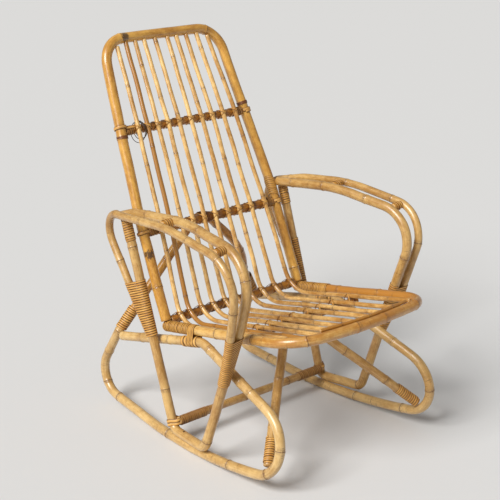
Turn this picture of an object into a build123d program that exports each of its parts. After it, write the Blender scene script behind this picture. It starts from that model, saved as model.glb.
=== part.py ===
from build123d import *
import os
from math import asin, atan2, cos, dist, pi, radians, sin, sqrt, tan

# Cane rocking chair. X runs across the chair, Y from the sitter's feet to the back, Z up.
# A point of the right side has a positive X, and the left side is its mirror image.

# Cane diameters
hoop_cane = 28
upper_rail_cane = 22
lower_rail_cane = 25
rear_rail_cane = 22
seat_cane = 26
middle_rail_cane = 20
slat_cane = 12.4
cap_cane = 9
arm_cane = 25
outer_arm_cane = 21
spacer_cane = 21
rocker_cane = 25
brace_cane = 24
strut_cane = 24
stretcher_cane = 22

# Room between two canes that touch, and between a lashing and its cane
clearance = 0.4
lashing_clearance = 0.7

# Back hoop: foot of the post, bend at the arm, corner of the top
post_foot_half = 237
post_foot_depth = 92
post_foot_height = 296
post_bend_half = 234
post_bend_depth = 215
post_bend_height = 583
post_bend_radius = 300
hoop_corner_half = 195
hoop_corner_depth = 409
hoop_corner_height = 1010
hoop_corner_radius = 75

# Cross rails of the back
upper_rail_height = 783
lower_rail_height = 535
rear_rail_height = 315

# Seat hoop: rear end, corner and crown of the front, which bows forward
seat_rear_half = 235
seat_rear_height = 305.5
seat_rear_gap = 3
seat_corner_half = 239
seat_corner_depth = -384
seat_corner_height = 394
seat_corner_radius = 90
seat_crown_depth = -414.5
seat_crown_height = 400
seat_crown_radius = 600
middle_rail_depth = -145
middle_rail_inset = 15

# Slats: places across the chair at the top and at the foot of the back
slat_tops = (-155, -124, -93, -63, -26, 16, 47, 81, 118, 153)
slat_feet = (-206, -174, -133, -91, -50, -11, 40, 84, 132, 192)
slat_front_spread = 1.04
slat_foot_drop = 22
slat_seat_drop = 4
slat_bend_radius = 75
slat_sweep_radius = 400
slat_pass_gap = 0.8
slat_head_gap = 2
slat_front_gap = 4.6
cap_half = 150
cap_angle = 45

# Arm and leg cane: rear end, crest, front bend, V foot and head of the rear upright
arm_rear_half = 253
arm_rear_depth = 204
arm_rear_height = 591
arm_crest_half = 262
arm_crest_depth = -17
arm_crest_height = 615
arm_crest_radius = 560
arm_front_half = 284
arm_front_depth = -300
arm_front_height = 583
arm_front_radius = 95
front_knee_half = 277.5
front_knee_depth = -243
front_knee_height = 410
front_knee_radius = 400
foot_front_half = 286
foot_front_depth = -114
foot_front_height = 44
foot_front_radius = 28
foot_rear_half = 270
foot_rear_depth = 33
foot_rear_height = 37.4
foot_rear_radius = 26
upright_head_half = 276
upright_head_depth = 210
upright_head_height = 572

# Outer arm cane: lower rear end, rear bend, crest, front bend and lower front end
outer_rear_end_half = 279
outer_rear_end_depth = 161
outer_rear_end_height = 347
outer_rear_half = 281
outer_rear_depth = 313
outer_rear_height = 577
outer_rear_radius = 54
outer_crest_half = 316
outer_crest_depth = -9
outer_crest_height = 617
outer_crest_radius = 560
outer_front_spread = 49
outer_front_half = arm_front_half + outer_front_spread
outer_front_depth = -295
outer_front_height = 587
outer_front_radius = 92
outer_front_end_half = 303
outer_front_end_depth = -229
outer_front_end_height = 347

# The arms lean a little to the left: the right inner and the left outer cane lie lower
inner_arm_drops = {"right": 7, "left": 0}
outer_arm_drops = {"right": 0, "left": 7}
arm_level = 500

# The most of a straight run that the bends at its two ends may take up
bent_share = 0.98

# Arm spacers, two on each side
middle_spacer_depths = {"right": 2, "left": 25}
front_spacer_depths = {"right": -206, "left": -196}
front_spacer_drops = {"right": 3.5, "left": 1.5}
spacer_gap = 2.2

# Rocker cane: end of the upper bar, its front bend, front tip, runner, rear tip and rear end
bar_end_half = 248
bar_end_depth = 284
bar_end_height = 221
bar_bend_half = 240
bar_bend_depth = -55
bar_bend_height = 303
bar_bend_radius = 62
front_tip_half = 281
front_tip_depth = -627
front_tip_height = 104
front_tip_radius = 88
runner_half = 274
runner_depth = -63
runner_height = -2.1
runner_radius = 1600
rear_tip_half = 246
rear_tip_depth = 427
rear_tip_height = 45
rear_tip_radius = 66
rocker_turn_half = 249
rocker_turn_depth = 304
rocker_turn_height = 226
rocker_turn_radius = 30
rocker_end_length = 42

# Rear brace hoop: apex behind the lower cross rail, and the bend of its right leg
brace_apex_place = -21
brace_apex_half = 20
brace_apex_drop = 3
brace_apex_radius = 22
brace_bend_half = 125
brace_bend_depth = 217
brace_bend_height = 415
brace_bend_radius = 270
brace_lead = 62
brace_lead_radius = 100

# Front strut hoop, with its apex under the middle rail of the seat, and the stretcher
strut_foot_half = 270
strut_foot_depth = -334
strut_foot_height = 77
strut_apex_half = 42
strut_apex_radius = 60
stretcher_inset = 11.9
stretcher_depth = 25
stretcher_rise = 24

# Lashings of cane peel, and the loose coil of thin strand on the upper rail
strand = 4
strand_pitch = 6.2
arm_lashing_turns = 24
arm_lashing_foot = 8
rear_lashing_height = 420
front_lashing_height = 384
brace_lashing_turns = 11
brace_lashing_start = 28
strut_lashing_turns = 11
strut_lashing_start = 4
stretcher_wrap_turns = 11
stretcher_wrap_start = 4
rail_wrap_turns = 3
rail_wrap_start = 2
seat_wrap_turns = 11
seat_wrap_start = 6
seat_tie_turns = 4
seat_tie_depth = -6
apex_lashing_turns = 3
coil_strand = 1.8
coil_pitch = 2.6
coil_turns = 3
coil_radius = 26
coil_place = -155
coil_hang = 13.4
points_per_arc = 6
tangent_limit = 1e-6

os.makedirs("parts", exist_ok=True)


def mirrored(point):
    return Vector(-point.X, point.Y, point.Z)


def at_height(start, end, height):
    return start + (end - start) * ((height - start.Z) / (end.Z - start.Z))


def at_depth(start, end, depth):
    return start + (end - start) * ((depth - start.Y) / (end.Y - start.Y))


def towards(start, end, length):
    return start + (end - start).normalized() * length


def eased(route, bends):
    """Bend radii, made smaller where two bends would meet on the straight run between them."""
    runs = [end - start for start, end in zip(route, route[1:])]
    turns = [radians(run.get_angle(onward)) for run, onward in zip(runs, runs[1:])]
    taken = [0, *(bend * tan(turn / 2) for bend, turn in zip(bends, turns)), 0]
    ease = [min(1, bent_share * run.length / (near + far)) for run, near, far in zip(runs, taken, taken[1:])]
    return [bend * min(before, after) for bend, before, after in zip(bends, ease, ease[1:])]


def bent_cane(route, bends, diameter):
    with BuildPart() as cane:
        with BuildLine() as path:
            FilletPolyline(*route, radius=eased(route, bends))
        with BuildSketch(Plane(path.line @ 0, z_dir=path.line % 0)):
            Circle(diameter / 2)
        sweep()
    return cane


def straight_cane(start, end, diameter):
    with BuildPart() as cane:
        with BuildLine() as path:
            Line(start, end)
        with BuildSketch(Plane(path.line @ 0, z_dir=path.line % 0)):
            Circle(diameter / 2)
        sweep()
    return cane


def keep(piece, name):
    piece.part.label = name
    export_step(piece.part, f"parts/{name}.step")


def ring_stations(start, axis, radius, pitch, turns):
    """Places and directions of a strand round one cane, four to a turn."""
    frame = Plane(start, z_dir=axis)
    stations = []
    for quarter in range(4 * turns + 1):
        angle = quarter * pi / 2
        outward = frame.x_dir * cos(angle) + frame.y_dir * sin(angle)
        onward = frame.y_dir * cos(angle) - frame.x_dir * sin(angle)
        place = start + outward * radius + frame.z_dir * (pitch * quarter / 4)
        course = onward * radius + frame.z_dir * (pitch / (2 * pi))
        stations.append((place, course.normalized()))
    return stations


def pair_stations(first, second, first_radius, second_radius, turns):
    """Places and directions of a strand round two canes, two half turns and two runs to a turn.
    first(share) and second(share) give the middles of the canes along the lashing, and
    second_radius(share) the strand's radius round the second one."""
    axis = (first(1) - first(0)).normalized()
    stations = []
    for quarter in range(4 * turns + 1):
        share = quarter / (4 * turns)
        across = second(share) - first(share)
        across = (across - axis * across.dot(axis)).normalized()
        side = axis.cross(across)
        corner = quarter % 4
        middle = first(share) if corner < 2 else second(share)
        radius = first_radius if corner < 2 else second_radius(share)
        reach = side * radius if corner in (0, 3) else side * -radius
        course = across * -1 if corner in (0, 3) else across
        stations.append((middle + reach, course))
    return stations


def winding(stations, thickness):
    """One unbroken strand through its stations, as pairs of arcs, with short straight ends.
    Points along it, as many to each arc, come with it."""
    first_place, first_course = stations[0]
    last_place, last_course = stations[-1]
    arcs = []
    with BuildPart() as strand_part:
        with BuildLine() as path:
            Line(first_place - first_course * thickness, first_place)
            for (start, leave), (end, arrive) in zip(stations, stations[1:]):
                chord = end - start
                bend = 2 * (1 - leave.dot(arrive))
                lean = chord.dot(leave + arrive)
                if bend > tangent_limit:
                    reach = (sqrt(lean * lean + bend * chord.dot(chord)) - lean) / bend
                else:
                    reach = chord.dot(chord) / (2 * lean)
                first_knee = start + leave * reach
                second_knee = end - arrive * reach
                joint = (first_knee + second_knee) * 0.5
                arcs.append(TangentArc(start, joint, tangent=leave))
                arcs.append(TangentArc(joint, end, tangent=second_knee - first_knee))
            Line(last_place, last_place + last_course * thickness)
        with BuildSketch(Plane(path.line @ 0, z_dir=path.line % 0)):
            Circle(thickness / 2)
        sweep()
    points = [tuple(arc @ (step / points_per_arc)) for arc in arcs for step in range(points_per_arc)]
    return strand_part, points


def least_gap(points, thickness):
    """Least room between one turn of a strand and the next, from points along it."""
    turn = 8 * points_per_arc
    least = min(
        dist(place, other)
        for here, place in enumerate(points)
        for other in points[here + turn // 2:here + 2 * turn]
    )
    return least - thickness


def keep_winding(stations, thickness, name):
    piece, points = winding(stations, thickness)
    keep(piece, name)
    print(f"{name}: least gap between turns {least_gap(points, thickness):.2f} mm")


def keep_ring_lashing(start, axis, cane, turns, name):
    radius = (cane + strand) / 2 + lashing_clearance
    keep_winding(ring_stations(start, axis, radius, strand_pitch, turns), strand, name)


# Back hoop, from the right post over the top to the left post
post_foot = Vector(post_foot_half, post_foot_depth, post_foot_height)
post_bend = Vector(post_bend_half, post_bend_depth, post_bend_height)
hoop_corner = Vector(hoop_corner_half, hoop_corner_depth, hoop_corner_height)
hoop_side = [post_foot, post_bend, hoop_corner]
hoop_route = hoop_side + [mirrored(point) for point in reversed(hoop_side)]
hoop_bends = [post_bend_radius, hoop_corner_radius, hoop_corner_radius, post_bend_radius]
keep(bent_cane(hoop_route, hoop_bends, hoop_cane), "back_hoop")


def post_at(height):
    if height < post_bend.Z:
        return at_height(post_foot, post_bend, height)
    return at_height(post_bend, hoop_corner, height)


def rail_end(height, cane):
    """Middle of a cross rail's right end, clear of the post by more where the post leans."""
    middle = post_at(height)
    lean = (post_bend.X - hoop_corner.X) / (hoop_corner.Z - post_bend.Z) if height > post_bend.Z else 0
    reach = hoop_cane / 2 + clearance + cane / 2 * lean
    return Vector(middle.X - reach, middle.Y, middle.Z)


# Cross rails, each butted between the posts
rails = {
    "upper_cross_rail": (upper_rail_height, upper_rail_cane),
    "lower_cross_rail": (lower_rail_height, lower_rail_cane),
    "seat_rear_rail": (rear_rail_height, rear_rail_cane),
}
for name, (height, cane) in rails.items():
    right_end = rail_end(height, cane)
    keep(straight_cane(mirrored(right_end), right_end, cane), name)

# Seat hoop, from the right post forward, across the front and back to the left post
seat_rear_depth = post_at(seat_rear_height).Y - hoop_cane / 2 - seat_rear_gap
seat_rear = Vector(seat_rear_half, seat_rear_depth, seat_rear_height)
seat_corner = Vector(seat_corner_half, seat_corner_depth, seat_corner_height)
seat_crown = Vector(0, seat_crown_depth, seat_crown_height)
seat_route = [seat_rear, seat_corner, seat_crown, mirrored(seat_corner), mirrored(seat_rear)]
seat_bends = [seat_corner_radius, seat_crown_radius, seat_corner_radius]
keep(bent_cane(seat_route, seat_bends, seat_cane), "seat_hoop")


def seat_rail_at(depth):
    return at_depth(seat_rear, seat_corner, depth)


# Front rail in plan: an arc at the crown, straight runs, then the corner arcs
front_lean = atan2(seat_corner.Y - seat_crown.Y, seat_corner.X)
crown_tangent = seat_crown_radius * sin(front_lean)
crown_centre = seat_crown.Y + seat_crown_radius / cos(front_lean)
corner_turn = (seat_corner - seat_rear).get_angle(seat_crown - seat_corner)
front_tangent = towards(seat_corner, seat_crown, seat_corner_radius * tan(radians(corner_turn / 2)))
corner_place = front_tangent.X - seat_corner_radius * sin(front_lean)
corner_centre = front_tangent.Y + seat_corner_radius * cos(front_lean)


def front_rail_at(place):
    """Middle of the front rail at a place across the chair, and the turn of the rail there."""
    side = abs(place)
    height = seat_crown.Z + (seat_corner.Z - seat_crown.Z) * side / seat_corner.X
    if side < crown_tangent:
        turn = asin(side / seat_crown_radius)
        depth = crown_centre - seat_crown_radius * cos(turn)
    elif side < front_tangent.X:
        turn = front_lean
        depth = seat_crown.Y + side * tan(front_lean)
    else:
        turn = asin((side - corner_place) / seat_corner_radius)
        depth = corner_centre - seat_corner_radius * cos(turn)
    return Vector(place, depth, height), turn


# Slats: head under the top rail, in front of both cross rails, over the rear rail, along the seat
def before_rail(height, cane):
    """Middle of a slat where it passes in front of a cross rail."""
    rise = (hoop_corner - post_bend) if height > post_bend.Z else (post_bend - post_foot)
    forward = Vector(0, -rise.Z, rise.Y).normalized()
    return post_at(height) + forward * ((cane + slat_cane) / 2 + slat_pass_gap)


upper_pass = before_rail(upper_rail_height, upper_rail_cane)
lower_pass = before_rail(lower_rail_height, lower_rail_cane)
rear_pass = before_rail(rear_rail_height, rear_rail_cane)
slat_foot = at_height(lower_pass, rear_pass, rear_pass.Z - slat_foot_drop)
top_turn = (hoop_corner - post_bend).get_angle(mirrored(hoop_corner) - hoop_corner)
top_straight_half = hoop_corner.X - hoop_corner_radius * tan(radians(top_turn / 2))


def head_drop(place):
    """Room from the top rail's middle down to a slat's head, more under the corner's curve."""
    inner = hoop_corner_radius - hoop_cane / 2 - slat_head_gap
    over = max(0, abs(place) + slat_cane / 2 - top_straight_half)
    return hoop_corner_radius - sqrt(inner * inner - over * over)


def slat_route(top, foot):
    def across(height):
        share = (height - slat_foot.Z) / (hoop_corner.Z - slat_foot.Z)
        return foot + (top - foot) * share

    crown = Vector(top, hoop_corner.Y, hoop_corner.Z)
    upper = Vector(across(upper_pass.Z), upper_pass.Y, upper_pass.Z)
    lower = Vector(across(lower_pass.Z), lower_pass.Y, lower_pass.Z)
    bend = Vector(foot, slat_foot.Y, slat_foot.Z)
    front_place = foot * slat_front_spread
    rail, turn = front_rail_at(front_place)
    stop = (seat_cane / 2 + slat_front_gap) / cos(turn) + slat_cane / 2 * tan(turn)
    front = Vector(front_place, rail.Y + stop, rail.Z - slat_seat_drop)
    return [towards(crown, upper, head_drop(top)), upper, lower, bend, front]


slat_bends = [slat_sweep_radius, slat_sweep_radius, slat_bend_radius]
slat_routes = [slat_route(top, foot) for top, foot in zip(slat_tops, slat_feet)]
for number, route in enumerate(slat_routes, 1):
    keep(bent_cane(route, slat_bends, slat_cane), f"slat_{number:02d}")

# Middle rail of the seat, under the slats
seat_runs = [route[-2:] for route in slat_routes]
seat_slope = atan2(seat_runs[0][1].Z - seat_runs[0][0].Z, seat_runs[0][0].Y - seat_runs[0][1].Y)
middle_height = min(at_depth(*run, middle_rail_depth).Z for run in seat_runs)
middle_height -= ((slat_cane + middle_rail_cane) / 2 + clearance) / cos(seat_slope)
middle_half = seat_rail_at(middle_rail_depth).X - middle_rail_inset
middle_end = Vector(middle_half, middle_rail_depth, middle_height)
keep(straight_cane(mirrored(middle_end), middle_end, middle_rail_cane), "seat_middle_rail")

# Cap strip along the front rail, over the ends of the slats
cap_distance = (seat_cane + cap_cane) / 2 + clearance
cap_offset = Vector(0, cap_distance * cos(radians(cap_angle)), cap_distance * sin(radians(cap_angle)))
cap_end = seat_crown + (seat_corner - seat_crown) * (cap_half / seat_corner.X) + cap_offset
cap_crown = seat_crown + cap_offset
keep(bent_cane([cap_end, cap_crown, mirrored(cap_end)], [seat_crown_radius], cap_cane), "seat_cap_strip")

# Arm and leg cane: inner arm, front upright, V foot on the runner, rear upright
arm_rear = Vector(arm_rear_half, arm_rear_depth, arm_rear_height)
arm_crest = Vector(arm_crest_half, arm_crest_depth, arm_crest_height)
arm_front = Vector(arm_front_half, arm_front_depth, arm_front_height)
front_knee = Vector(front_knee_half, front_knee_depth, front_knee_height)
foot_front = Vector(foot_front_half, foot_front_depth, foot_front_height)
foot_rear = Vector(foot_rear_half, foot_rear_depth, foot_rear_height)
upright_head = Vector(upright_head_half, upright_head_depth, upright_head_height)
arm_route = [arm_rear, arm_crest, arm_front, front_knee, foot_front, foot_rear, upright_head]
arm_bends = [arm_crest_radius, arm_front_radius, front_knee_radius, foot_front_radius, foot_rear_radius]

# Outer arm cane
outer_rear_end = Vector(outer_rear_end_half, outer_rear_end_depth, outer_rear_end_height)
outer_rear = Vector(outer_rear_half, outer_rear_depth, outer_rear_height)
outer_crest = Vector(outer_crest_half, outer_crest_depth, outer_crest_height)
outer_front = Vector(outer_front_half, outer_front_depth, outer_front_height)
outer_front_end = Vector(outer_front_end_half, outer_front_end_depth, outer_front_end_height)
outer_route = [outer_rear_end, outer_rear, outer_crest, outer_front, outer_front_end]
outer_bends = [outer_rear_radius, outer_crest_radius, outer_front_radius]

# Rocker cane: upper bar, diagonal, front tip, runner, rear tip and the end that meets the brace
bar_end = Vector(bar_end_half, bar_end_depth, bar_end_height)
bar_bend = Vector(bar_bend_half, bar_bend_depth, bar_bend_height)
front_tip = Vector(front_tip_half, front_tip_depth, front_tip_height)
runner = Vector(runner_half, runner_depth, runner_height)
rear_tip = Vector(rear_tip_half, rear_tip_depth, rear_tip_height)
rocker_turn = Vector(rocker_turn_half, rocker_turn_depth, rocker_turn_height)
lower_rail_middle = post_at(lower_rail_height)
brace_apex_depth = lower_rail_middle.Y + (lower_rail_cane + brace_cane) / 2 + clearance
brace_apex_height = lower_rail_height - brace_apex_drop
brace_apex_left = Vector(brace_apex_place - brace_apex_half, brace_apex_depth, brace_apex_height)
brace_apex_right = Vector(brace_apex_place + brace_apex_half, brace_apex_depth, brace_apex_height)
rocker_end = towards(rocker_turn, mirrored(brace_apex_left), rocker_end_length)
rocker_route = [bar_end, bar_bend, front_tip, runner, rear_tip, rocker_turn, rocker_end]
rocker_bends = [bar_bend_radius, front_tip_radius, runner_radius, rear_tip_radius, rocker_turn_radius]

sides = {"right": lambda point: point, "left": mirrored}


def lowered(route, drop):
    """The route with its points at the level of the arms lowered along the post."""
    move = (post_foot - post_bend) * (drop / (post_bend.Z - post_foot.Z))
    return [point + Vector(0, move.Y, move.Z) if point.Z > arm_level else point for point in route]


arm_routes = {}
outer_routes = {}
for side, flip in sides.items():
    arm_routes[side] = [flip(point) for point in lowered(arm_route, inner_arm_drops[side])]
    outer_routes[side] = [flip(point) for point in lowered(outer_route, outer_arm_drops[side])]
    keep(bent_cane(arm_routes[side], arm_bends, arm_cane), f"arm_leg_{side}")
    keep(bent_cane(outer_routes[side], outer_bends, outer_arm_cane), f"outer_arm_{side}")
    keep(bent_cane([flip(point) for point in rocker_route], rocker_bends, rocker_cane), f"rocker_{side}")


# Arm spacers, short stubs between the inner and the outer arm
def spacer_between(inner, outer, drop):
    below = Vector(0, 0, -drop)
    start = towards(inner, outer, arm_cane / 2 + spacer_gap) + below
    end = towards(outer, inner, outer_arm_cane / 2 + spacer_gap) + below
    return straight_cane(start, end, spacer_cane)


for side in sides:
    arm_back, arm_top, arm_bow = arm_routes[side][:3]
    outer_back, outer_top, outer_bow = outer_routes[side][1:4]
    depth = middle_spacer_depths[side]
    inner = at_depth(arm_back, arm_top, depth)
    outer = at_depth(outer_back, outer_top, depth)
    keep(spacer_between(inner, outer, 0), f"arm_middle_spacer_{side}")
    depth = front_spacer_depths[side]
    inner = at_depth(arm_top, arm_bow, depth)
    outer = at_depth(outer_top, outer_bow, depth)
    keep(spacer_between(inner, outer, front_spacer_drops[side]), f"arm_front_spacer_{side}")

# Rear brace hoop, from the end of one rocker behind the lower cross rail to the other
brace_foot = towards(rocker_end, mirrored(brace_apex_left), clearance)
brace_knee = towards(brace_foot, mirrored(brace_apex_left), brace_lead)
brace_bend = Vector(brace_bend_half, brace_bend_depth, brace_bend_height)
brace_route = [mirrored(brace_foot), brace_apex_left, brace_apex_right, brace_bend, brace_knee, brace_foot]
brace_bends = [brace_apex_radius, brace_apex_radius, brace_bend_radius, brace_lead_radius]
keep(bent_cane(brace_route, brace_bends, brace_cane), "rear_brace_hoop")

# Front strut hoop, from rocker to rocker under the middle rail of the seat
strut_foot = Vector(strut_foot_half, strut_foot_depth, strut_foot_height)
strut_apex_height = middle_height - (middle_rail_cane + strut_cane) / 2 - clearance
strut_apex = Vector(strut_apex_half, middle_rail_depth, strut_apex_height)
strut_route = [strut_foot, strut_apex, mirrored(strut_apex), mirrored(strut_foot)]
keep(bent_cane(strut_route, [strut_apex_radius, strut_apex_radius], strut_cane), "front_strut_hoop")

# Stretcher between the V feet
stretcher_end = Vector(foot_rear.X - stretcher_inset, stretcher_depth, foot_rear.Z + stretcher_rise)
keep(straight_cane(mirrored(stretcher_end), stretcher_end, stretcher_cane), "stretcher")


# Lashings over an upright and the end of an outer arm cane: they taper to the upright below that end
def arm_lashing(upright_high, upright_low, outer_high, outer_end, height):
    length = arm_lashing_turns * strand_pitch
    top = at_height(upright_high, upright_low, height)
    course = (upright_low - upright_high).normalized()
    end_share = (outer_end - top).dot(course) / length
    lashing_foot = top + course * length
    outer_side = outer_end - course * (outer_end - lashing_foot).dot(course)
    taper_foot = towards(lashing_foot, outer_side, arm_lashing_foot)
    outer_lean = course.get_angle(outer_end - outer_high)
    upright_radius = (arm_cane + strand) / 2 + lashing_clearance
    outer_radius = outer_arm_cane / 2 / cos(radians(outer_lean)) + strand / 2 + lashing_clearance

    def taper(share):
        return max(0, (share - end_share) / (1 - end_share))

    def upright(share):
        return top + course * (length * share)

    def outer(share):
        if share > end_share:
            return outer_end + (taper_foot - outer_end) * taper(share)
        along = outer_high - outer_end
        reach = (top + course * (length * share) - outer_end).dot(course) / along.dot(course)
        return outer_end + along * reach

    def radius(share):
        return outer_radius + (upright_radius - outer_radius) * taper(share)

    return pair_stations(upright, outer, upright_radius, radius, arm_lashing_turns)


for side in sides:
    knee, toe, heel, head = arm_routes[side][3:]
    outer_tail, outer_back, outer_top, outer_bow, outer_tip = outer_routes[side]
    rear = arm_lashing(head, heel, outer_back, outer_tail, rear_lashing_height)
    front = arm_lashing(knee, toe, outer_bow, outer_tip, front_lashing_height)
    keep_winding(rear, strand, f"rear_arm_lashing_{side}")
    keep_winding(front, strand, f"front_arm_lashing_{side}")

# Lashings round one cane: brace joints, strut feet, stretcher ends, rail ends and seat rails
for side, flip in sides.items():
    brace_course = flip(rocker_end) - flip(rocker_turn)
    brace_start = towards(flip(rocker_end), flip(rocker_turn), brace_lashing_start)
    keep_ring_lashing(brace_start, brace_course, rocker_cane, brace_lashing_turns, f"brace_lashing_{side}")
    strut_course = flip(strut_apex) - flip(strut_foot)
    strut_start = towards(flip(strut_foot), flip(strut_apex), strut_lashing_start)
    keep_ring_lashing(strut_start, strut_course, strut_cane, strut_lashing_turns, f"strut_lashing_{side}")
    inward = flip(Vector(-1, 0, 0))
    wrap_start = flip(stretcher_end) + inward * stretcher_wrap_start
    keep_ring_lashing(wrap_start, inward, stretcher_cane, stretcher_wrap_turns, f"stretcher_wrap_{side}")
    for name in ("upper_cross_rail", "lower_cross_rail"):
        height, cane = rails[name]
        wrap_start = flip(rail_end(height, cane)) + inward * rail_wrap_start
        keep_ring_lashing(wrap_start, inward, cane, rail_wrap_turns, f"{name}_wrap_{side}")
    rail_course = flip(seat_corner) - flip(seat_rear)
    wrap_start = towards(flip(seat_rear), flip(seat_corner), seat_wrap_start)
    keep_ring_lashing(wrap_start, rail_course, seat_cane, seat_wrap_turns, f"seat_rail_wrap_{side}")


# Ties of the seat rails to the upper bars of the rockers
def seat_tie(flip):
    length = seat_tie_turns * strand_pitch
    start = seat_rail_at(seat_tie_depth)
    end = seat_rail_at(seat_tie_depth - length)

    def rail(share):
        return flip(start + (end - start) * share)

    def bar(share):
        level = start + (end - start) * share
        return flip(at_depth(bar_end, bar_bend, level.Y))

    rail_radius = (seat_cane + strand) / 2 + lashing_clearance
    bar_radius = (rocker_cane + strand) / 2 + lashing_clearance
    return pair_stations(rail, bar, rail_radius, lambda share: bar_radius, seat_tie_turns)


for side, flip in sides.items():
    keep_winding(seat_tie(flip), strand, f"seat_tie_{side}")


# Lashing of the brace's apex to the lower cross rail
def apex_rail(share):
    length = apex_lashing_turns * strand_pitch
    return Vector(brace_apex_place + (share - 0.5) * length, lower_rail_middle.Y, lower_rail_middle.Z)


def apex_brace(share):
    return Vector(apex_rail(share).X, brace_apex_depth, brace_apex_height)


apex_rail_radius = (lower_rail_cane + strand) / 2 + lashing_clearance
apex_brace_radius = (brace_cane + strand) / 2 + lashing_clearance
apex = pair_stations(
    apex_rail, apex_brace, apex_rail_radius, lambda share: apex_brace_radius, apex_lashing_turns
)
keep_winding(apex, strand, "brace_apex_lashing")

# Loose coil of thin strand, hung on the upper cross rail between two slats
coil_middle = post_at(upper_rail_height)
coil_start = Vector(coil_place, coil_middle.Y, coil_middle.Z - coil_hang)
coil = ring_stations(coil_start, Vector(1, 0, 0), coil_radius, coil_pitch, coil_turns)
keep_winding(coil, coil_strand, "loose_coil")
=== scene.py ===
import bpy
import numpy as np
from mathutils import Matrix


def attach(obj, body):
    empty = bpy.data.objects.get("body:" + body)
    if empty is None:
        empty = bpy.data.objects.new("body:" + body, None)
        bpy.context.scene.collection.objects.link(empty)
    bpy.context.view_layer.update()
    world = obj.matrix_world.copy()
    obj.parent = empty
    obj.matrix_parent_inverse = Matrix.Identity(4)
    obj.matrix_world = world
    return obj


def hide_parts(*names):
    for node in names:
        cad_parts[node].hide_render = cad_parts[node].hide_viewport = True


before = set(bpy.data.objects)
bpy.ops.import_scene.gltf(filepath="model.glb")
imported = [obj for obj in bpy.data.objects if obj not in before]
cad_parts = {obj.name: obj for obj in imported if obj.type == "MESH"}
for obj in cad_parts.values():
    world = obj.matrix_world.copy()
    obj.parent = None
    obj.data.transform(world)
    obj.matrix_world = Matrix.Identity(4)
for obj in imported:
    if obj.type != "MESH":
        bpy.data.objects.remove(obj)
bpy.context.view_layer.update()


# Back hoop: one thick cane, steamed and bent into an upside-down U, with its skin left on.
# It carries the growth joints of the stem, a dark knot at one corner and a scuff on one post.
# Both feet stand on the rear ends of the seat hoop.
line_step = 0.0015
arc_points = 48


def mm(*points):
    """Points or sizes in millimetres as an array in metres."""
    return np.array(points, float) / 1000


def point(spot):
    """One point in millimetres, in metres."""
    return mm(spot)[0]


def unit(arrows):
    """Arrows that point the same way, with a length of 1."""
    return arrows / np.linalg.norm(arrows, axis=-1, keepdims=True)


def mirrored(points):
    """The same points on the other side of the chair."""
    return points * (-1, 1, 1)


def both_sides(route):
    """The route and its mirror image run backwards, as one route across the chair."""
    return np.vstack([route, mirrored(route)[::-1]])


def lengths_of(line):
    """Length along a line up to each of its points."""
    return np.concatenate([[0], np.cumsum(np.linalg.norm(np.diff(line, axis=0), axis=1))])


def read_at(places, lengths, values):
    """Rows of values read off at places along a line, straight between its points."""
    return np.stack([np.interp(places, lengths, values[:, k]) for k in range(3)], 1)


def evenly(line):
    """The same line in steps of even length."""
    lengths = lengths_of(line)
    places = np.linspace(0, lengths[-1], int(lengths[-1] / line_step) + 2)
    return read_at(places, lengths, line)


def bent(route, bends, ease=0.012):
    """Line through a route with an arc in each corner, sampled evenly and eased.
    An arc's middle lies on the bisector of its corner, and a running mean softens where it begins."""
    runs = [route[:1]]
    for before, corner, after, radius in zip(route, route[1:], route[2:], bends):
        leave = unit(before - corner)
        arrive = unit(after - corner)
        half = 0.5 * np.arccos(leave @ arrive)
        middle = corner + unit(leave + arrive) * radius / np.sin(half)
        start = corner + leave * radius / np.tan(half)
        turn = np.linspace(0, np.pi - 2 * half, arc_points)[:, None]
        runs.append(middle + radius * (np.cos(turn) * unit(start - middle) - np.sin(turn) * leave))
    line = evenly(np.vstack([*runs, route[-1:]]))
    width = int(ease / line_step) | 1
    steps = np.arange(1, width // 2 + 1)[:, None]
    first = line[0] - (line[1] - line[0]) * steps[::-1]
    last = line[-1] + (line[-1] - line[-2]) * steps
    longer = np.vstack([first, line, last])
    return np.stack([np.convolve(longer[:, k], np.ones(width) / width, "valid") for k in range(3)], 1)


def waves(places, rng, longest, count=4):
    """Slow irregular sway between about -1 and 1: a few sines of random phase and falling size."""
    order = np.arange(1, count + 1)
    phase = rng.uniform(0, 2 * np.pi, count)
    pace = rng.uniform(0.8, 1.25, count)
    return (np.sin(2 * np.pi * places[:, None] * order * pace / longest + phase) / order).sum(1) / 1.6


def tube_mesh(name, tubes):
    """Mesh of one or more tubes. A tube is rings of points joined in a grid, each end closed by one
    flat face, with numbers or arrows for every point, which are kept as attributes of the mesh."""
    corners = []
    sizes = []
    total = 0
    for rings, _ in tubes:
        count, sides = rings.shape[:2]
        grid = total + np.arange(count * sides).reshape(count, sides)
        beside = np.roll(grid, -1, 1)
        quads = np.stack([grid[:-1], beside[:-1], beside[1:], grid[1:]], -1).reshape(-1, 4)
        corners += [quads.ravel(), grid[0, ::-1], grid[-1]]
        sizes += [np.full(len(quads), 4), [sides, sides]]
        total += count * sides
    corners = np.concatenate(corners)
    sizes = np.concatenate(sizes)
    mesh = bpy.data.meshes.new(name)
    mesh.vertices.add(total)
    places = np.concatenate([rings.ravel() for rings, _ in tubes])
    mesh.vertices.foreach_set("co", places.astype(np.float32))
    mesh.loops.add(len(corners))
    mesh.loops.foreach_set("vertex_index", corners.astype(np.int32))
    mesh.polygons.add(len(sizes))
    mesh.polygons.foreach_set("loop_start", (np.cumsum(sizes) - sizes).astype(np.int32))
    mesh.update(calc_edges=True)
    for key, sample in tubes[0][1].items():
        kind, field = ("FLOAT_VECTOR", "vector") if sample.ndim == 3 else ("FLOAT", "value")
        value = np.concatenate([values[key].ravel() for _, values in tubes])
        mesh.attributes.new(key, kind, "POINT").data.foreach_set(field, value.astype(np.float32))
    mesh.shade_smooth()
    return mesh


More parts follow.
